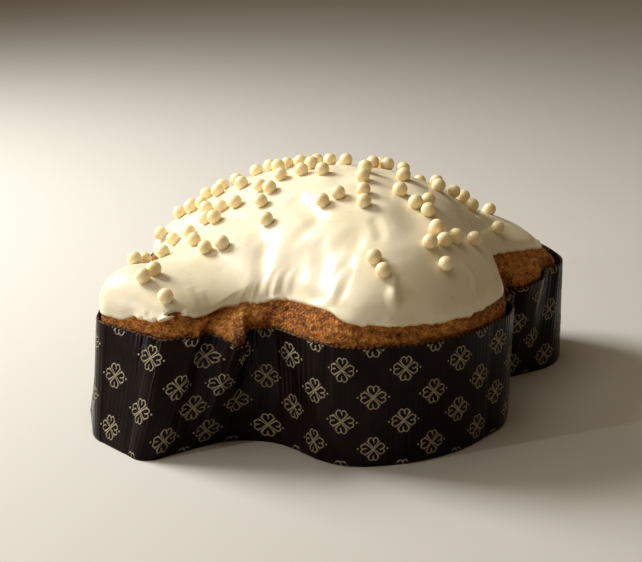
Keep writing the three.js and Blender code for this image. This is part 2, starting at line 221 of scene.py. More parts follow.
class Outline:
    """Matching points round the floor and the rim of the case, with all that varies round it."""

    def __init__(self, step):
        floor, rim, along, travelled = [], [], [], 0.0
        matching = zip(rounded_path(FLOOR_CORNERS), rounded_path(RIM_CORNERS))
        for (length, floor_at), (_, rim_at) in matching:
            count = max(1, round(length / step))
            t = np.arange(count) / count
            floor.append(floor_at(t))
            rim.append(rim_at(t))
            along.append(travelled + length * t)
            travelled += length
        self.floor, self.rim, self.along = np.vstack(floor), np.vstack(rim), np.concatenate(along)
        self.perimeter, self.count = travelled, len(self.along)
        self.floor_normals, self.rim_normals = outward_normals(self.floor), outward_normals(self.rim)
        self.folds = np.zeros((self.count, 2))
        for x, y, depth, half_width in FOLDS:
            outward = self.rim_normals[self.nearest(x, y)]
            self.folds += self.bump(x, y, half_width)[:, None] * depth * outward
        shrunk = [depth * self.bump(x, y, half_width) for x, y, depth, half_width in SHRINKAGE]
        self.insets = CRUST_INSET + sum(shrunk)
        lean = ((self.rim + self.folds - self.floor) * self.floor_normals).sum(1)
        self.rim_heights = CASE_HEIGHT - lean * lean / RIM_DROP
        self.crust_shares = np.minimum(1, SHOULDER / self.rim_heights)
        self.crust = self.plan(self.crust_shares, 0, self.insets)
        self.folded_crust = self.plan(self.crust_shares, 1, self.insets)

    def nearest(self, x, y):
        return int(np.argmin(np.hypot(self.floor[:, 0] - x, self.floor[:, 1] - y)))

    def gap_to(self, x, y):
        """Signed distance round the outline from the spot nearest to x, y."""
        apart = self.along - self.along[self.nearest(x, y)] + self.perimeter / 2
        return apart % self.perimeter - self.perimeter / 2

    def bump(self, x, y, half_width):
        """1 at a spot, and 0 from half_width on."""
        return smooth(1.25 * (1 - np.abs(self.gap_to(x, y)) / half_width))

    def blended(self, spots):
        """A value that runs smoothly between spots round the outline."""
        knots = sorted((self.along[self.nearest(x, y)], value) for x, y, value in spots)
        starts = np.array([along for along, _ in knots])
        values = np.array([value for _, value in knots])
        before = (np.searchsorted(starts, self.along, "right") - 1) % len(knots)
        after = (before + 1) % len(knots)
        span = (starts[after] - starts[before]) % self.perimeter
        done = (self.along - starts[before]) % self.perimeter / span
        return values[before] + (values[after] - values[before]) * smooth(done)

    def plan(self, shares, fold_share=1, insets=0):
        """The wall's plan at a share of its height, with a share of the folds, moved inwards by insets."""
        shares = np.broadcast_to(shares, self.count)[:, None]
        points = self.floor + (self.rim - self.floor) * shares
        points = points + self.folds * fold_share * shares ** FOLD_POWER
        return points - outward_normals(points) * np.broadcast_to(insets, self.count)[:, None]

    def wall(self, share, inset=0):
        """Points of the wall at a share of its height."""
        return np.column_stack([self.plan(share, 1, inset), self.rim_heights * share])


# ---------- crown ----------

CROWN_ROWS = 110
CROWDING = 2.2                 # the rows crowd together at the outline
EVEN_FROM, EVEN_TO = 0.4, 0.8  # where the rays' bearings grow even, from the outline to the centre


def openness(polygon, points):
    """Near the polygon the distance to it, and further in a smooth measure of width.

    It is pi over the integral of 1 / r^2 along the polygon.
    """
    sides = np.roll(polygon, -1, 0) - polygon
    lengths = np.linalg.norm(sides, axis=1)
    along_side = sides / lengths[:, None]
    flat = points.reshape(-1, 2)
    total = np.empty(len(flat))
    batch = 4000               # points at a time
    for k in range(0, len(flat), batch):
        apart = flat[k:k + batch, None] - polygon
        along = (apart * along_side).sum(2)
        across = np.abs(apart[..., 0] * along_side[:, 1] - apart[..., 1] * along_side[:, 0]) + TINY
        seen = np.arctan((lengths - along) / across) + np.arctan(along / across)
        total[k:k + batch] = (seen / across).sum(1)
    return (np.pi / total).reshape(points.shape[:-1])


def spine_height(x):
    """Height of the crown over the shoulder, as a smooth curve through SPINE."""
    knots, heights = np.array(SPINE, float).T
    slopes = np.empty(len(knots))
    slopes[1:-1] = (heights[2:] - heights[:-2]) / (knots[2:] - knots[:-2])
    slopes[0] = (heights[1] - heights[0]) / (knots[1] - knots[0])
    slopes[-1] = (heights[-1] - heights[-2]) / (knots[-1] - knots[-2])
    i = np.clip(np.searchsorted(knots, x) - 1, 0, len(knots) - 2)
    span = knots[i + 1] - knots[i]
    t = np.clip((x - knots[i]) / span, 0, 1)
    return ((2 * t ** 3 - 3 * t ** 2 + 1) * heights[i] + (t ** 3 - 2 * t ** 2 + t) * span * slopes[i]
            + (3 * t ** 2 - 2 * t ** 3) * heights[i + 1] + (t ** 3 - t ** 2) * span * slopes[i + 1])


class Crown:
    """The crust's surface over the case: rays from the outline to the centre, and distances up the slope."""

    def __init__(self, outline):
        self.outline = outline
        t = np.linspace(0, 1, CROWN_ROWS)
        shares = 1 - t ** CROWDING
        self.widest = openness(outline.crust, np.zeros((1, 2)))[0]
        bearing = np.unwrap(np.arctan2(outline.crust[:, 1], outline.crust[:, 0]))
        even = 2 * np.pi * np.arange(outline.count) / outline.count
        even += (bearing - even).mean()
        evenness = smooth((t - EVEN_FROM) / (EVEN_TO - EVEN_FROM))
        turn = bearing[:, None] + (even - bearing)[:, None] * evenness
        reach = np.linalg.norm(outline.crust, axis=1)[:, None] * shares
        plan = reach[..., None] * direction(turn)
        plan[:, -1] = 0
        width = openness(outline.crust, plan)
        width[:, 0] = 0
        height = SHOULDER + spine_height(plan[..., 0]) * np.sqrt(width / self.widest)
        self.points = np.concatenate([plan, height[..., None]], -1)
        steps = np.linalg.norm(np.diff(self.points, axis=1), axis=2)
        self.slope = np.concatenate([np.zeros((outline.count, 1)), np.cumsum(steps, 1)], 1)
        self.fold()

    def fold(self):
        """The crust follows the folds of the paper and sags over those that lean out, most at the rim."""
        line = self.outline
        rim = np.column_stack([line.crust, np.full(line.count, SHOULDER)])[:, None]
        strength = 1 - smooth(np.linalg.norm(self.points - rim, axis=2) / LIP_REACH)
        self.points[..., :2] += (line.folded_crust - line.crust)[:, None] * strength[..., None]
        sag = np.maximum((line.folds * line.rim_normals).sum(1), 0) * LIP_SAG
        self.points[..., 2] -= sag[:, None] * strength

    def at(self, slopes):
        """Points at distances up the slope, one row of distances for each ray."""
        found = np.empty((*slopes.shape, 3))
        for i, axis in np.ndindex(self.outline.count, 3):
            found[i, :, axis] = np.interp(slopes[i], self.slope[i], self.points[i, :, axis])
        return found


def grid_normals(grid):
    """Normals of a grid whose first index runs anticlockwise and whose second runs inwards."""
    across = np.roll(grid, -1, 0) - np.roll(grid, 1, 0)
    inwards = np.gradient(grid, axis=1)
    normals = np.cross(across, inwards)
    lengths = np.linalg.norm(normals, axis=-1)
    normals[lengths < TINY] = (0, 0, 1)
    return normals / np.linalg.norm(normals, axis=-1)[..., None]


# ---------- meshes ----------


def skin_faces(rings, count):
    """Faces of a closed body through rings of count points, with a point at each end."""
    index = np.arange(rings * count).reshape(rings, count)
    ahead = np.roll(index, -1, 1)
    quads = np.stack([index[:-1], ahead[:-1], ahead[1:], index[1:]], -1).reshape(-1, 4)
    first, last = rings * count, rings * count + 1
    bottom = np.stack([np.full(count, first), ahead[0], index[0]], -1)
    top = np.stack([np.full(count, last), index[-1], ahead[-1]], -1)
    return [*quads.tolist(), *bottom.tolist(), *top.tolist()]


def make_mesh(name, points, faces, material, attributes=None):
    """A smooth-shaded piece from points in millimetres, with named values for each point."""
    mesh = bpy.data.meshes.new(name)
    mesh.from_pydata((np.asarray(points) * MM).tolist(), [], faces)
    mesh.update()
    mesh.polygons.foreach_set("use_smooth", np.ones(len(mesh.polygons), bool))
    for key, values in (attributes or {}).items():
        layer = mesh.attributes.new(key, "FLOAT", "POINT")
        layer.data.foreach_set("value", np.asarray(values, np.float32).ravel())
    mesh.materials.append(material)
    piece = bpy.data.objects.new(name, mesh)
    bpy.context.scene.collection.objects.link(piece)
    return piece


def register(piece, node):
    """Moves a piece to the solids' place, hangs it on the root body and hides the solid of the node that it
    stands for.
    """
    piece.data.transform(Matrix.Translation((*shift, 0)))
    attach(piece, "root")
    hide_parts(node)


# ---------- materials ----------


class Nodes:
    """A short way to write a material's node tree."""

    def __init__(self, name):
        self.material = bpy.data.materials.new(name)
        self.material.use_nodes = True
        self.tree = self.material.node_tree
        self.shader = self.tree.nodes["Principled BSDF"]

    def add(self, kind, inputs=None, **settings):
        node = self.tree.nodes.new("ShaderNode" + kind)
        for key, value in settings.items():
            setattr(node, key, value)
        for key, value in (inputs or {}).items():
            self.set(node.inputs[key], value)
        return node

    def set(self, socket, value):
        if isinstance(value, bpy.types.NodeSocket):
            self.tree.links.new(value, socket)
        elif isinstance(value, tuple) and len(value) == 3 and socket.type == "RGBA":
            socket.default_value = (*value, 1)
        else:
            socket.default_value = value

    def where(self, scale=(1, 1, 1)):
        """The place on the object in metres, times a scale along each axis."""
        coords = self.add("TexCoord").outputs["Object"]
        return self.add("Mapping", {"Vector": coords, "Scale": scale}).outputs[0]

    def noise(self, size, detail=2.0, where=None, roughness=0.5):
        """Noise in 0..1 whose bumps are about size metres."""
        vector = where if where is not None else self.where()
        inputs = {"Vector": vector, "Scale": 1 / size, "Detail": detail, "Roughness": roughness}
        return self.add("TexNoise", inputs).outputs["Fac"]

    def cells(self, size):
        """Distance from the middles of scattered cells of about size metres, in cell sizes."""
        return self.add("TexVoronoi", {"Vector": self.where(), "Scale": 1 / size}).outputs["Distance"]

    def ramp(self, value, stops):
        """A colour that runs through stops, each a position and a colour."""
        node = self.add("ValToRGB", {"Fac": value})
        while len(node.color_ramp.elements) < len(stops):
            node.color_ramp.elements.new(0.5)
        for element, (position, color) in zip(node.color_ramp.elements, stops):
            element.position = position
            element.color = (*color, 1)
        return node.outputs[0]

    def math(self, operation, a, b):
        node = self.add("Math", operation=operation)
        self.set(node.inputs[0], a)
        self.set(node.inputs[1], b)
        return node.outputs[0]

    def range(self, value, low, high, to_low=0.0, to_high=1.0):
        """The value carried from the range low..high to another, and held at its ends."""
        inputs = {"Value": value, "From Min": low, "From Max": high, "To Min": to_low, "To Max": to_high}
        return self.add("MapRange", inputs).outputs[0]

    def mix(self, factor, a, b):
        """Colour a where the factor is 0, and colour b where it is 1."""
        node = self.add("Mix", data_type="RGBA")
        for socket, value in zip((node.inputs[0], *node.inputs[6:8]), (factor, a, b)):
            self.set(socket, value)
        return node.outputs[2]

    def bump(self, height, distance, strength):
        inputs = {"Height": height, "Distance": distance, "Strength": strength}
        return self.add("Bump", inputs).outputs[0]

    def attribute(self, name):
        """The values of that name that make_mesh gave the points."""
        return self.add("Attribute", attribute_name=name).outputs["Fac"]

    def finish(self, **inputs):
        """The material, with the shader's sockets set by names with underscores."""
        for key, value in inputs.items():
            self.set(self.shader.inputs[key.replace("_", " ")], value)
        return self.material


def film_material():
    n = Nodes("dark film")
    streaks = n.noise(0.0011, 3, n.where((1, 1, 0.02)))
    grain = n.noise(0.0008, 3)
    dust = n.noise(0.010, 5)
    film = n.mix(n.range(dust, 0.35, 0.7), (0.0060, 0.0026, 0.0021), (0.0115, 0.0056, 0.0047))
    kraft = n.mix(n.range(grain, 0.3, 0.7), (0.05, 0.020, 0.007), (0.20, 0.095, 0.035))
    color = n.mix(n.attribute("edge"), film, kraft)
    height = n.math("ADD", n.math("MULTIPLY", streaks, 0.8), n.math("MULTIPLY", grain, 0.2))
    bare = n.math("MULTIPLY", n.attribute("edge"), 0.4)
    rough = n.math("ADD", n.range(streaks, 0.3, 0.7, 0.11, 0.22), bare)
    return n.finish(Base_Color=color, Roughness=rough, Normal=n.bump(height, 0.00010, 0.7),
                    Specular_IOR_Level=0.06)


def ink_material():
    n = Nodes("beige ink")
    worn = n.noise(0.0010, 3)
    color = n.mix(n.range(worn, 0.3, 0.7), (0.23, 0.185, 0.115), (0.40, 0.34, 0.225))
    return n.finish(Base_Color=color, Roughness=0.42, Normal=n.bump(worn, 0.00004, 0.5),
                    Specular_IOR_Level=0.25)


def crust_material():
    n = Nodes("baked crust")
    broad = n.noise(0.014, 3)
    fine = n.noise(0.0026, 6, roughness=0.8)
    wrinkles = n.noise(0.0016, 4, n.where((0.4, 0.4, 1)), 0.7)
    crumbs = n.cells(0.0016)
    mixed = n.math("ADD", n.math("MULTIPLY", fine, 0.6), n.math("MULTIPLY", wrinkles, 0.4))
    baked = n.ramp(n.math("ADD", n.math("MULTIPLY", broad, 0.25), n.math("MULTIPLY", mixed, 0.75)), [
        (0.39, (0.075, 0.017, 0.003)),
        (0.46, (0.25, 0.070, 0.010)),
        (0.54, (0.54, 0.20, 0.034)),
        (0.64, (0.88, 0.47, 0.13)),
    ])
    color = n.mix(n.range(crumbs, 0.10, 0.40, 0.40, 0.0), baked, (0.90, 0.48, 0.14))
    color = n.mix(n.range(fine, 0.44, 0.34, 0.0, 0.7), color, (0.055, 0.014, 0.002))
    # Darker in a thin line at the paper, and painted shade over the deepest fold.
    color = n.mix(n.attribute("darkening_with_painted_shade"), color, (0.022, 0.006, 0.002))
    height = n.math("ADD", mixed, n.range(crumbs, 0.0, 0.6, 0.35, 0.0))
    return n.finish(Base_Color=color, Roughness=n.range(fine, 0.3, 0.7, 0.45, 0.75),
                    Normal=n.bump(height, 0.0022, 1.0), Specular_IOR_Level=0.15)


def icing_material():
    n = Nodes("ivory icing")
    broad = n.noise(0.03, 2)
    fine = n.noise(0.006, 3)
    grain = n.noise(0.0008, 2)
    color = n.mix(n.range(broad, 0.3, 0.7), (0.82, 0.725, 0.50), (0.87, 0.79, 0.60))
    color = n.mix(n.attribute("thin"), color, (0.62, 0.38, 0.14))
    height = n.math("ADD", n.math("MULTIPLY", fine, 0.85), n.math("MULTIPLY", grain, 0.15))
    return n.finish(Base_Color=color, Roughness=n.range(fine, 0.3, 0.7, 0.26, 0.40),
                    Normal=n.bump(height, 0.00025, 0.6), Subsurface_Weight=0.25,
                    Subsurface_Radius=(0.0042, 0.0026, 0.0012), Subsurface_Scale=1.0)


def pearl_material():
    n = Nodes("sugar pearl")
    fine = n.noise(0.0011, 3)
    color = n.mix(n.range(fine, 0.3, 0.7), (0.90, 0.745, 0.44), (0.94, 0.80, 0.52))
    return n.finish(Base_Color=color, Roughness=0.34, Normal=n.bump(fine, 0.00004, 0.6),
                    Subsurface_Weight=0.45, Subsurface_Radius=(0.0045, 0.0030, 0.0014),
                    Subsurface_Scale=1.0)


# ---------- paper case ----------

RIB_PITCH = 2.7
RIB_DEPTH = 0.2
DENT_DEPTH = 0.5               # of the shallow dents among the ribs
EDGE_WIDTH = 0.9               # thickness of the paper at the rim
PLEATS = [                     # place along the wall, depth, half width
    (33, 0.5, 4), (47, 0.4, 3), (58, 1.1, 3.5), (70, 0.9, 3), (86, 1.2, 4), (102, 0.9, 4.5), (112, 0.5, 4),
    (131, 0.35, 4), (148, 0.45, 5), (163, 0.3, 4),
]


class Wall:
    """The case's outer surface, with its ribs, at places given along the wall and up it."""

    def __init__(self, outline):
        self.outline = outline
        middle = outline.wall(0.5)
        ahead = np.roll(middle, -1, 0)
        steps = np.linalg.norm(ahead - middle, axis=1)
        self.along = np.concatenate([[0], np.cumsum(steps)])
        self.length = self.along[-1]
        self.ribs = round(self.length / RIB_PITCH)

    def wave(self, along):
        """0 on the crests of the corrugation and 1 in its valleys."""
        return 0.5 - 0.5 * np.cos(2 * np.pi * self.ribs * along / self.length)

    def rib(self, along):
        """How far the surface lies inside its outermost line."""
        where = np.stack([along, 0 * along, 0 * along], -1)
        uneven = 0.7 + 0.3 * noise(where, 11, 21)
        depth = RIB_DEPTH * self.wave(along) * uneven + DENT_DEPTH * smooth(noise(where, 7, 22) * 1.6 - 0.3)
        for place, pleat_depth, half_width in PLEATS:
            gap = (along - place + self.length / 2) % self.length - self.length / 2
            depth = depth + pleat_depth * smooth(1 - np.abs(gap) / half_width)
        return depth

    def value(self, along, values):
        """Values at places along the wall, from those at the outline's points."""
        closed = np.concatenate([values, values[:1]])
        along = np.asarray(along) % self.length
        if values.ndim == 1:
            return np.interp(along, self.along, closed)
        return np.stack([np.interp(along, self.along, column) for column in closed.T], -1)

    def smooth_point(self, along, height):
        """A point of the wall without its ribs."""
        line = self.outline
        share = (height / self.value(along, line.rim_heights))[..., None]
        floor, rim = self.value(along, line.floor), self.value(along, line.rim)
        plan = floor + (rim - floor) * share
        plan = plan + self.value(along, line.folds) * np.maximum(share, 0) ** FOLD_POWER
        return np.concatenate([plan, np.asarray(height)[..., None]], -1)

    def point(self, along, height, lift):
        """A point of the ribbed surface, lifted off it."""
        step = 0.3
        side = self.smooth_point(along + step, height) - self.smooth_point(along - step, height)
        outward = np.stack([side[..., 1], -side[..., 0]], -1)
        outward /= np.linalg.norm(outward, axis=-1)[..., None]
        result = self.smooth_point(along, height)
        result[..., :2] += outward * (lift - self.rib(along))[..., None]
        return result


def case_rings(wall):
    """Rings of the case from its underside over the rim to its floor, and how much kraft paper shows."""
    line = wall.outline
    ribs = wall.rib(wall.along[:-1])
    rings, edge = [], []

    def ring(share, inset, height=None, shade=0.0):
        points = line.wall(share, inset)
        if height is not None:
            points[:, 2] = height
        rings.append(points)
        edge.append(np.broadcast_to(shade, line.count))

    ring(0, 2.2, 0)
    ring(0, 0.8, 0)
    ring(0, 0.25 + ribs * 0.4, 0.25)
    for share in (0.02, 0.06, 0.12, 0.2, 0.3, 0.4, 0.5, 0.6, 0.7, 0.8, 0.88, 0.94, 0.97, 0.985):
        ring(share, ribs)
    bare = smooth((wall.wave(wall.along[:-1]) - 0.25) / 0.5)
    ring(0.995, ribs + 0.03, shade=bare * 0.6)
    ring(1, ribs + 0.22, shade=bare)
    ring(1, ribs + EDGE_WIDTH - 0.22, shade=bare)
    ring(0.995, ribs + EDGE_WIDTH, shade=bare * 0.6)
    for share in (0.97, 0.94, 0.88, 0.8, 0.65, 0.5, 0.3, 0.12):
        ring(share, ribs * 0.6 + EDGE_WIDTH)
    ring(0, PAPER, PAPER)
    return rings, edge


def make_case(outline, material):
    wall = Wall(outline)
    rings, edge = case_rings(wall)
    points = np.vstack([*rings, [[0, 0, 0]], [[0, 0, PAPER]]])
    shades = np.concatenate([*edge, [0, 0]])
    faces = skin_faces(len(rings), outline.count)
    return wall, make_mesh("case_paper", points, faces, material, {"edge": shades})


# ---------- print on the paper ----------

COLUMN_PITCH = 13.6
ROW_PITCH = 23.9
FIRST_COLUMN = 15.7
LOWEST_FIGURES = (8.6, -3.0)   # heights of the lowest figures in columns by turns
FIGURES_UP = 3
GATHERED = (42, 24, 10)        # the head's folds take up paper: place, half width, shift of the figures
LINE_WIDTH = 0.56
WHISKER_WIDTH = 0.34
PRINT_LIFT = 0.07
PRINT_SINK = 0.12
PETAL_LENGTH = 5.35
PETAL_WIDTH = 4.6
DOT_REACH = 6.7
DOT_RADIUS = 0.5
DOT_SIDES = 10


def petal(turn):
    """A heart in outline by the common formula, with its tip in the middle of the figure."""
    t = np.linspace(0, 2 * math.pi, 30, endpoint=False)
    across = np.sin(t) ** 3 * PETAL_WIDTH / 2
    out = (13 * np.cos(t) - 5 * np.cos(2 * t) - 2 * np.cos(3 * t) - np.cos(4 * t) + 17) / 29 * PETAL_LENGTH
    outline = np.stack([across, out], -1)
    return rotated(outline, turn)


def rotated(points, turn):
    """Points turned anticlockwise about the middle of the figure."""
    c, s = math.cos(turn), math.sin(turn)
    return points @ np.array([[c, s], [-s, c]])


def curl(turn):
    """The short curl that hangs in a petal's notch."""
    t = np.linspace(0, 1, 5)
    line = np.stack([0.3 * np.sin(math.pi * t), PETAL_LENGTH * (0.76 - 0.2 * t)], -1)
    return rotated(line, turn)


def whisker(turn, lean):
    """A short curved stroke between two petals."""
    t = np.linspace(0, 1, 6)
    line = np.stack([lean * (0.5 + 0.5 * t ** 1.6), 3.1 + 1.8 * t], -1)
    return rotated(line, turn)


def print_lines():
    """The figure's lines in millimetres: (points, closed, width)."""
    quarters = [k * math.pi / 2 for k in range(4)]
    lines = [(petal(turn), True, LINE_WIDTH) for turn in quarters]
    lines += [(curl(turn), False, LINE_WIDTH) for turn in quarters]
    for turn in quarters:
        lines += [(whisker(turn + math.pi / 4, lean), False, WHISKER_WIDTH) for lean in (-0.7, 0.7)]
    return lines


def ribbon(points, closed, width):
    """Left and right edges of a line of ink."""
    if closed:
        tangents = np.roll(points, -1, 0) - np.roll(points, 1, 0)
    else:
        tangents = np.gradient(points, axis=0)
    tangents /= np.linalg.norm(tangents, axis=1)[:, None]
    side = np.stack([-tangents[:, 1], tangents[:, 0]], -1) * width / 2
    return points + side, points - side


def on_paper(wall, places):
    margin = 0.5
    heights = places[..., 1]
    return (heights > margin) & (heights < wall.value(places[..., 0], wall.outline.rim_heights) - margin)


def runs_on_paper(wall, places, closed):
    """The stretches of a line of ink that lie on the paper, and whether each one is a whole loop."""
    inside = on_paper(wall, places).all(1)
    if inside.all():
        return [(places, closed)]
    if not inside.any():
        return []
    if closed:
        start = int(np.argmin(inside))
        places, inside = np.roll(places, -start, 0), np.roll(inside, -start)
    edges = np.flatnonzero(np.diff(np.concatenate([[False], inside, [False]]).astype(int)))
    return [(places[first:last], False) for first, last in zip(edges[::2], edges[1::2]) if last - first >= 2]


class Print:
    """Ink on the wall, as flat ridges whose lowest edge is sunk in the paper."""

    def __init__(self, wall):
        self.wall = wall
        self.points, self.faces = [], []

    def add_points(self, places, lift):
        lifts = np.full(len(places), lift, float)
        self.points.extend(self.wall.point(places[:, 0], places[:, 1], lifts).tolist())

    def add_run(self, places, whole):
        first, count = len(self.points), len(places)
        self.add_points(places[:, 0], PRINT_LIFT)
        self.add_points(places[:, 1], PRINT_LIFT)
        self.add_points(places.mean(1), -PRINT_SINK)
        for k in range(count if whole else count - 1):
            ahead = (k + 1) % count
            for a, b in ((0, 1), (1, 2), (2, 0)):
                low, high = first + a * count, first + b * count
                self.faces.append((low + k, high + k, high + ahead, low + ahead))
        if not whole:
            self.faces.append((first, first + 2 * count, first + count))
            last = first + count - 1
            self.faces.append((last, last + count, last + 2 * count))

    def add_dot(self, centre):
        ring = centre + DOT_RADIUS * direction(np.linspace(0, 2 * math.pi, DOT_SIDES, endpoint=False))
        if not on_paper(self.wall, ring).all():
            return
        first = len(self.points)
        self.add_points(ring, PRINT_LIFT)
        self.add_points(centre[None], PRINT_LIFT)
        self.add_points(centre[None], -PRINT_SINK)
        top, bottom = first + DOT_SIDES, first + DOT_SIDES + 1
        for k in range(DOT_SIDES):
            ahead = (k + 1) % DOT_SIDES
            self.faces.append((first + k, first + ahead, top))
            self.faces.append((first + ahead, first + k, bottom))

    def add_figure(self, centre, lines):
        for line, closed, width in lines:
            left, right = ribbon(line, closed, width)
            for places, whole in runs_on_paper(self.wall, np.stack([left, right], 1) + centre, closed):
                self.add_run(places, whole)
        for side in (-DOT_REACH, DOT_REACH):
            self.add_dot(centre + (side, 0))


def make_print(wall, material):
    """Figures in an even number of staggered columns."""
    ink = Print(wall)
    lines = print_lines()
    columns = 2 * round(wall.length / COLUMN_PITCH / 2)
    place, half_width, most = GATHERED
    for column in range(columns):
        along = FIRST_COLUMN + column * wall.length / columns
        along += most * math.exp(-((along - place) / half_width) ** 2)
        for row in range(FIGURES_UP):
            height = LOWEST_FIGURES[column % 2] + row * ROW_PITCH
            ink.add_figure(np.array([along, height]), lines)
    return make_mesh("case_print", ink.points, ink.faces, material)


# ---------- cake ----------

CRUST_ROWS = 34
UNDER_ICING = 4.0              # how far the fine part of the crust goes on under the icing
HIDDEN_ROWS = 11
HIDDEN_SINK = (0.6, 2.2)       # depth of the hidden part at its edge, and how much more inside
PAINTED_FOLD_SHADE = (-87, -34, 15, 9, 0.6)  # painted shade over the deepest fold: x, y, half width, reach up the slope, strength
CRUST_SWELL = [(0.5, 15, 1), (0.3, 6, 2)]  # height, size and seed of each noise, here and below
CRUST_GRAIN = [(0.22, 2.2, 3), (0.16, 1.3, 4)]


def crust_relief(points, depth_in_band):
    """Unevenness of the baked crust along its normal."""
    swell = layered_noise(points, CRUST_SWELL)
    flat = points * (0.3, 0.3, 1)
    wrinkles = 0.3 * noise(flat, 1.5, 7) + 0.2 * np.abs(noise(flat, 2.6, 8))
    grain = layered_noise(points, CRUST_GRAIN)
    pits = -0.5 * smooth((0.42 - cell_distance(points, 3.0, 5)) / 0.3) * smooth(noise(points, 7, 6) + 0.5)
    return (swell + wrinkles + grain + pits) * smooth(depth_in_band / 2.5)


def crust_dark_line_and_painted_shade(line, slopes):
    """How dark the crust is made: darker in a thin line at the paper, and painted shade over the deepest
    fold.
    """
    x, y, half_width, rise, strength = PAINTED_FOLD_SHADE
    # Painted shade: the crust over the deepest fold is darkened where shadow falls on it.
    painted_shade = strength * line.bump(x, y, half_width)[:, None] * smooth(1.3 - slopes / rise)
    return np.maximum(0.8 * smooth(1 - slopes / 1.6), painted_shade)


def make_cake(crown, bare, material):
    line = crown.outline
    fine_end = bare[:, None] + UNDER_ICING
    slopes = fine_end * np.linspace(0, 1, CRUST_ROWS)[None]
    band = crown.at(slopes)
    band += grid_normals(band) * crust_relief(band, slopes)[..., None]

    hidden = np.linspace(0.04, 0.92, HIDDEN_ROWS)[None]
    under = crown.at(fine_end + (crown.slope[:, -1:] - fine_end) * hidden)
    sink, deeper = HIDDEN_SINK
    under -= grid_normals(under) * (sink + deeper * smooth(hidden / 0.12))[..., None]

    inset = PAPER + 2 * GAP
    bottom = line.wall(0, inset)
    bottom[:, 2] = PAPER + GAP
    sides = [line.wall(share, inset) for share in (0.25, 0.5)]
    sides.append(line.wall(0.8, inset + (line.insets - inset) * 0.5))
    below = [bottom, *sides]
    rings = [*below, *band.transpose(1, 0, 2), *under.transpose(1, 0, 2)]
    top = crown.points[0, -1] - (0, 0, sink + deeper)
    points = np.vstack([*rings, [[0, 0, PAPER + GAP]], [top]])

    darkening_with_painted_shade = np.zeros((len(rings), line.count))
    # Darker below the rim and in a thin line at the paper, with painted shade over the deepest fold.
    darkening_with_painted_shade[:len(below)] = 0.8
    darkening_with_painted_shade[len(below):len(below) + CRUST_ROWS] = crust_dark_line_and_painted_shade(line, slopes).T
    shades = np.concatenate([darkening_with_painted_shade.ravel(), [0, 0]])
    return make_mesh("cake_crust", points, skin_faces(len(rings), line.count), material, {"darkening_with_painted_shade": shades})


# ---------- icing ----------

EDGE_ROWS = 16
EDGE_BAND = 4.5                # width of the edge that has its own finer rows
ICING_ROWS = 80
UNDERSIDE_STEP = 16            # the underside has one row for so many of the upper side's
UNDERSIDE_DEPTH = (1.2, 0.6)   # under the crust's nominal surface at the edge, and how much more inside
STROKES = [                    # half width, height, and the line that a furrow, ridge or lump follows
    (7, -1.2, [(-28, -6), (-28.6, -20), (-29.7, -28)]),
    (6, -0.5, [(-29.7, -28), (-38, -29)]),
    (16, 0.9, [(-41, -16)]),
    (4.5, -0.7, [(-13.3, -50), (-16.5, -59)]),
    (11, -1.2, [(18, -10), (11, -33), (5, -48), (1, -61)]),
    (9, -0.7, [(-25, -52), (-37, -50)]),
    (9, -0.9, [(-55, -21), (-49, -12)]),
    (10, -0.8, [(-50, 12), (-60, 16)]),
    (9, -0.7, [(-8, -10), (2, 2)]),
    (6, -0.8, [(-52, -20), (-60, -30), (-65.6, -37)]),
    (8, 0.6, [(-50, -27), (-58, -40)]),
    (6, -0.5, [(-36.6, -42.6), (-42, -54), (-46, -62)]),
    (5.5, -0.5, [(-34, -59.5), (-41, -67.5)]),
    (5.5, -0.45, [(-27, -56), (-37, -63)]),
    (4.5, 1.0, [(-36.7, -62.6), (-44, -66), (-51.6, -66)]),
    (12, -1.1, [(-72, -8), (-70, -23.5)]),
    (1.9, 0.45, [(-91.4, -19.6), (-92.7, -29.5)]),
    (1.9, 0.4, [(-87.7, -23), (-88.7, -31)]),
    (4.2, 1.5, [(-25, -82.5)]),
    (3, 0.6, [(-22, -78), (-24, -82)]),
    (2.2, 0.5, [(13, -78.5), (15.8, -81.6), (13.5, -84.6)]),
    (1.5, -1.0, [(88.5, -32), (87.5, -37)]),
    (9, -0.7, [(-20, 62), (-24, 84)]),
    (7, -0.6, [(-54, 50), (-66, 58)]),
    (9, 0.7, [(-2, 66), (-4, 86)]),
    (9, -0.7, [(62, 14), (74, 26)]),
    (10, -0.8, [(-84, 8), (-96, 20)]),
    (9, -0.6, [(58, -20), (76, -24)]),
]
FLAKES = [                     # where the edge is broken and thick: x, y, half width, strength
    (-125, -29, 17, 1), (-30, -88, 7, 0.5), (-62, -46, 6, 0.4), (118, -22, 9, 0.4), (-8, 95, 12, 0.6),
    (92, 36, 12, 0.4),
]
FLUTES = (-57, -52, 30, 9, 0.35)  # x, y, half width of the stretch, pitch, height
EDGE_THICKNESS = 1.25
SWELLS = [(1.1, 31, 14), (0.45, 14, 15), (0.08, 6, 19)]
EDGE_WANDER = [(0.8, 9, 11), (0.4, 3.2, 12), (0.2, 1.6, 13)]
TEARS = [(3.4, 3.6, 16), (2.4, 1.9, 17)]


def distance_to_line(points, line):
    """Distance in plan to a line through the given places."""
    line = np.array(line, float)
    if len(line) == 1:
        return np.linalg.norm(points[..., :2] - line[0], axis=-1)
    nearest = np.inf
    for start, end in zip(line[:-1], line[1:]):
        side, apart = end - start, points[..., :2] - start
        share = np.clip((apart @ side) / (side @ side), 0, 1)
        nearest = np.minimum(nearest, np.linalg.norm(apart - share[..., None] * side, axis=-1))
    return nearest


def flaking(outline):
    """1 where the icing's edge is broken and thick, 0 where it runs out thin."""
    bumps = [strength * outline.bump(x, y, half_width) for x, y, half_width, strength in FLAKES]
    return np.maximum.reduce(bumps)


def icing_edge(outline):
    """Width of the bare crust, with the icing's uneven edge."""
    where = np.column_stack([outline.floor, np.zeros(outline.count)])
    return outline.blended(BARE_CRUST) + layered_noise(where, EDGE_WANDER)


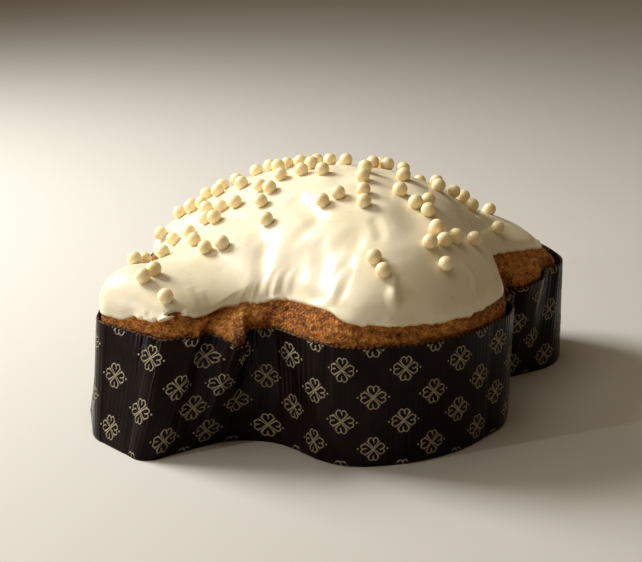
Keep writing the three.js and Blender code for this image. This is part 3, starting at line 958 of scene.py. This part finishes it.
def icing_relief(outline, distance, points):
    """Height of the furrows, ridges, flutes, flakes and swells of the icing's surface."""
    relief = layered_noise(points, SWELLS)
    for half_width, height, line in STROKES:
        relief += height * smooth(1 - distance_to_line(points, line) / half_width)
    x, y, half_width, pitch, height = FLUTES
    gap = outline.gap_to(x, y)
    flutes = height * np.cos(2 * np.pi * gap / pitch) * smooth(1.5 * (1 - np.abs(gap) / half_width))
    relief += flutes[:, None] * smooth(distance / 3) * smooth(1 - distance / 18)
    relief += flaking(outline)[:, None] * smooth(1 - distance / 7) * 1.3 * noise(points, 2.4, 20)
    return relief


def icing_thickness(outline, distance, points):
    """Thickness of the icing over the crust, with a rounded edge that is torn where it flakes."""
    flakes = flaking(outline)[:, None]
    bead = 1.6 - 0.5 * flakes
    torn = flakes * (0.8 + layered_noise(points, TEARS))
    into = distance - np.maximum(torn, 0)
    rise = np.sqrt(1 - (1 - np.clip(into / bead, 0, 1)) ** 2)
    edge_thickness = EDGE_THICKNESS + 1.1 * flakes + 0.4 * noise(points, 6, 18)
    body = edge_thickness + (ICING - edge_thickness) * smooth(distance / 10)
    calm = smooth((distance - 0.6) / 5)
    least = 0.7 - 1.5 * smooth((distance - 2) / 10)
    uneven = body + icing_relief(outline, distance, points) * np.maximum(calm, 0.5 * flakes)
    return np.maximum(uneven, least) * rise - 0.15 - 0.8 * smooth(-into / 0.5)


def icing_grid(crown, edge):
    """Points of the nominal crust under the icing, and their distances from its edge."""
    reach = crown.slope[:, -1:] - edge[:, None]
    near = np.linspace(0, 1, EDGE_ROWS) ** 1.3 * EDGE_BAND
    far = np.linspace(0, 1, ICING_ROWS + 1)[1:]
    near = np.broadcast_to(near, (len(edge), EDGE_ROWS))
    distance = np.concatenate([near, EDGE_BAND + (reach - EDGE_BAND) * far], 1)
    return crown.at(edge[:, None] + distance), distance


def make_icing(crown, edge, material):
    line = crown.outline
    base, distance = icing_grid(crown, edge)
    normals = grid_normals(base)
    outer = base + normals * icing_thickness(line, distance, base)[..., None]
    at_edge, deeper = UNDERSIDE_DEPTH
    inner = base - normals * (at_edge + deeper * smooth((distance - 2) / 10))[..., None]
    inner_rows = [0, 2, 6, 10, *range(EDGE_ROWS, EDGE_ROWS + ICING_ROWS - 1, UNDERSIDE_STEP)]
    rings = [*inner[:, inner_rows[::-1]].transpose(1, 0, 2), *outer[:, :-1].transpose(1, 0, 2)]
    bottom, top = base[0, -1] - (0, 0, at_edge + deeper), outer[:, -1].mean(0)
    points = np.vstack([*rings, [bottom], [top]])
    thin = np.zeros((len(rings), line.count))
    see_through = 1.2 + 0.8 * noise(base, 1.5, 23)
    thin[len(inner_rows):] = (0.8 * smooth(1 - distance / see_through)[:, :-1]).T
    shades = np.concatenate([thin.ravel(), [0, 0]])
    faces = skin_faces(len(rings), line.count)
    return make_mesh("icing_coat", points, faces, material, {"thin": shades}), points, faces


# ---------- pearls ----------


def random_source(seed):
    """An endless row of numbers in 0..1, the same as in the solids."""
    state = seed
    while True:
        state = state * 48271 % 2147483647
        yield state / 2147483647


def pearl_spots(outline, crown):
    """Places of the pearls in plan: the rows first, then the scattered ones."""
    spacing = 2 * PEARL_RADIUS + GAP
    spots = []
    for x, y, count, heading in PEARL_ROWS:
        side = spacing * direction(math.radians(heading))
        spots += [(x + k * side[0], y + k * side[1]) for k in range(count)]
    bearings = np.arctan2(outline.crust[:, 1], outline.crust[:, 0])
    base = crown.at(outline.blended(BARE_CRUST)[:, None])[:, 0, :2]
    limit = np.linalg.norm(base, axis=1) - PEARL_MARGIN
    draw = random_source(PEARL_SEED)
    while len(spots) < PEARL_COUNT:
        x, y = (low + (high - low) * next(draw) for low, high in (SCATTER_X, SCATTER_Y))
        turn = np.abs((bearings - math.atan2(y, x) + math.pi) % (2 * math.pi) - math.pi)
        free = all(math.hypot(u - x, v - y) > spacing * 1.15 for u, v in spots)
        if free and math.hypot(x, y) < limit[np.argmin(turn)]:
            spots.append((x, y))
    return spots


def ball(rings=14, segments=22):
    """Points and faces of a ball of radius 1."""
    tilt = np.linspace(0, math.pi, rings + 1)[1:-1]
    turn = np.linspace(0, 2 * math.pi, segments, endpoint=False)
    levels = [[(*(math.sin(a) * flat), -math.cos(a)) for flat in direction(turn)] for a in tilt]
    return np.vstack([*levels, [(0, 0, -1)], [(0, 0, 1)]]), skin_faces(rings - 1, segments)


def make_pearls(spots, surface, material):
    """Balls of nearly the same size, each sunk a little into the icing below its spot."""
    shape, shape_faces = ball()
    points, faces = [], []
    size = random_source(PEARL_SEED + 1)
    for x, y in spots:
        hit, normal, _, _ = surface.ray_cast(Vector((x, y, 300)), Vector((0, 0, -1)))
        radius = PEARL_RADIUS * (0.97 + 0.06 * next(size))
        centre = np.array(hit + normal * (radius - PEARL_SINK))
        first = len(points)
        points.extend((shape * radius + centre).tolist())
        faces.extend([tuple(first + k for k in face) for face in shape_faces])
    return make_mesh("icing_pearls", points, faces, material)


# ---------- the object ----------

case_outline = Outline(0.5)
food_outline = Outline(0.8)

# The solids stand over the origin by the case's box, so the pieces move by as much.
case_plan = np.vstack([case_outline.floor, case_outline.plan(1)])
case_box = np.array(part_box("paper_case"))[:, :2]
shift = case_box.mean(0) - (case_plan.min(0) + case_plan.max(0)) / 2 * MM

wall, case = make_case(case_outline, film_material())
figures = make_print(wall, ink_material())
crown = Crown(food_outline)
edge = icing_edge(food_outline)
cake = make_cake(crown, food_outline.blended(BARE_CRUST), crust_material())
icing, icing_points, icing_faces = make_icing(crown, edge, icing_material())
icing_surface = BVHTree.FromPolygons([Vector(p) for p in icing_points.tolist()], icing_faces)
pearls = make_pearls(pearl_spots(food_outline, crown), icing_surface, pearl_material())

register(case, "paper_case")
register(figures, "paper_case")
register(cake, "cake")
register(icing, "icing")
register(pearls, "icing")

# ---------- floor, light and camera ----------

CAMERA_PLACE = (-325.7, -542.5, 259.36)
CAMERA_HEADING = 30            # degrees clockwise from +Y
CAMERA_DOWN = 18
SENSOR = 36
FOCAL_PIXELS = 1364            # focal length in the photograph's pixels
PHOTO_WIDTH = 642
FLOOR_REACH = 3.0
MIDDLE = (0, 0, 0.05)          # what the broad lights aim at


def make_floor():
    mesh = bpy.data.meshes.new("floor")
    corners = [(-1, -1), (1, -1), (1, 1), (-1, 1)]
    mesh.from_pydata([(x * FLOOR_REACH, y * FLOOR_REACH, 0) for x, y in corners], [], [(0, 1, 2, 3)])
    n = Nodes("pale floor")
    mesh.materials.append(n.finish(Base_Color=(0.61, 0.585, 0.54), Roughness=0.85))
    floor = bpy.data.objects.new("floor", mesh)
    bpy.context.scene.collection.objects.link(floor)


def toward(left, up, distance):
    """A place round the object, in degrees clockwise from behind the camera, degrees up and metres."""
    bearing = math.radians(CAMERA_HEADING + 180 + left)
    rise = math.radians(up)
    return (distance * math.cos(rise) * math.sin(bearing), distance * math.cos(rise) * math.cos(bearing),
            distance * math.sin(rise))


def make_light(name, place, aim, size, power, color):
    """A rectangular lamp, with its size in metres and its power in watts."""
    light = bpy.data.lights.new(name, "AREA")
    light.shape = "RECTANGLE"
    light.size, light.size_y = size
    light.energy = power
    light.color = color
    lamp = bpy.data.objects.new(name, light)
    bpy.context.scene.collection.objects.link(lamp)
    lamp.location = place
    lamp.rotation_mode = "QUATERNION"
    lamp.rotation_quaternion = (Vector(aim) - Vector(place)).to_track_quat("-Z", "Y")


def make_camera():
    camera = bpy.data.cameras.new("camera")
    camera.sensor_width = SENSOR
    camera.lens = SENSOR * FOCAL_PIXELS / PHOTO_WIDTH
    camera.clip_start = 0.01
    holder = bpy.data.objects.new("camera", camera)
    bpy.context.scene.collection.objects.link(holder)
    heading, down = math.radians(CAMERA_HEADING), math.radians(CAMERA_DOWN)
    look = Vector((math.sin(heading) * math.cos(down), math.cos(heading) * math.cos(down), -math.sin(down)))
    holder.location = Vector(CAMERA_PLACE) * MM + Vector((*shift, 0))
    holder.rotation_mode = "QUATERNION"
    holder.rotation_quaternion = look.to_track_quat("-Z", "Y")
    bpy.context.scene.camera = holder


def make_world():
    world = bpy.data.worlds.new("studio")
    bpy.context.scene.world = world
    world.use_nodes = True
    background = world.node_tree.nodes["Background"]
    background.inputs["Color"].default_value = (1, 0.72, 0.41, 1)
    background.inputs["Strength"].default_value = 0.122


bpy.context.scene.view_settings.view_transform = "Standard"
make_floor()
make_light("key", toward(114, 40, 1.1), MIDDLE, (0.45, 0.45), 16.5, (1, 0.985, 0.955))
make_light("top", toward(70, 74, 0.9), MIDDLE, (0.7, 0.7), 1.6, (1, 0.93, 0.80))
make_light("strip", toward(62, 12, 1.0), (-0.05, 0, 0.03), (0.02, 0.5), 2.6, (1, 0.98, 0.97))
make_world()
make_camera()
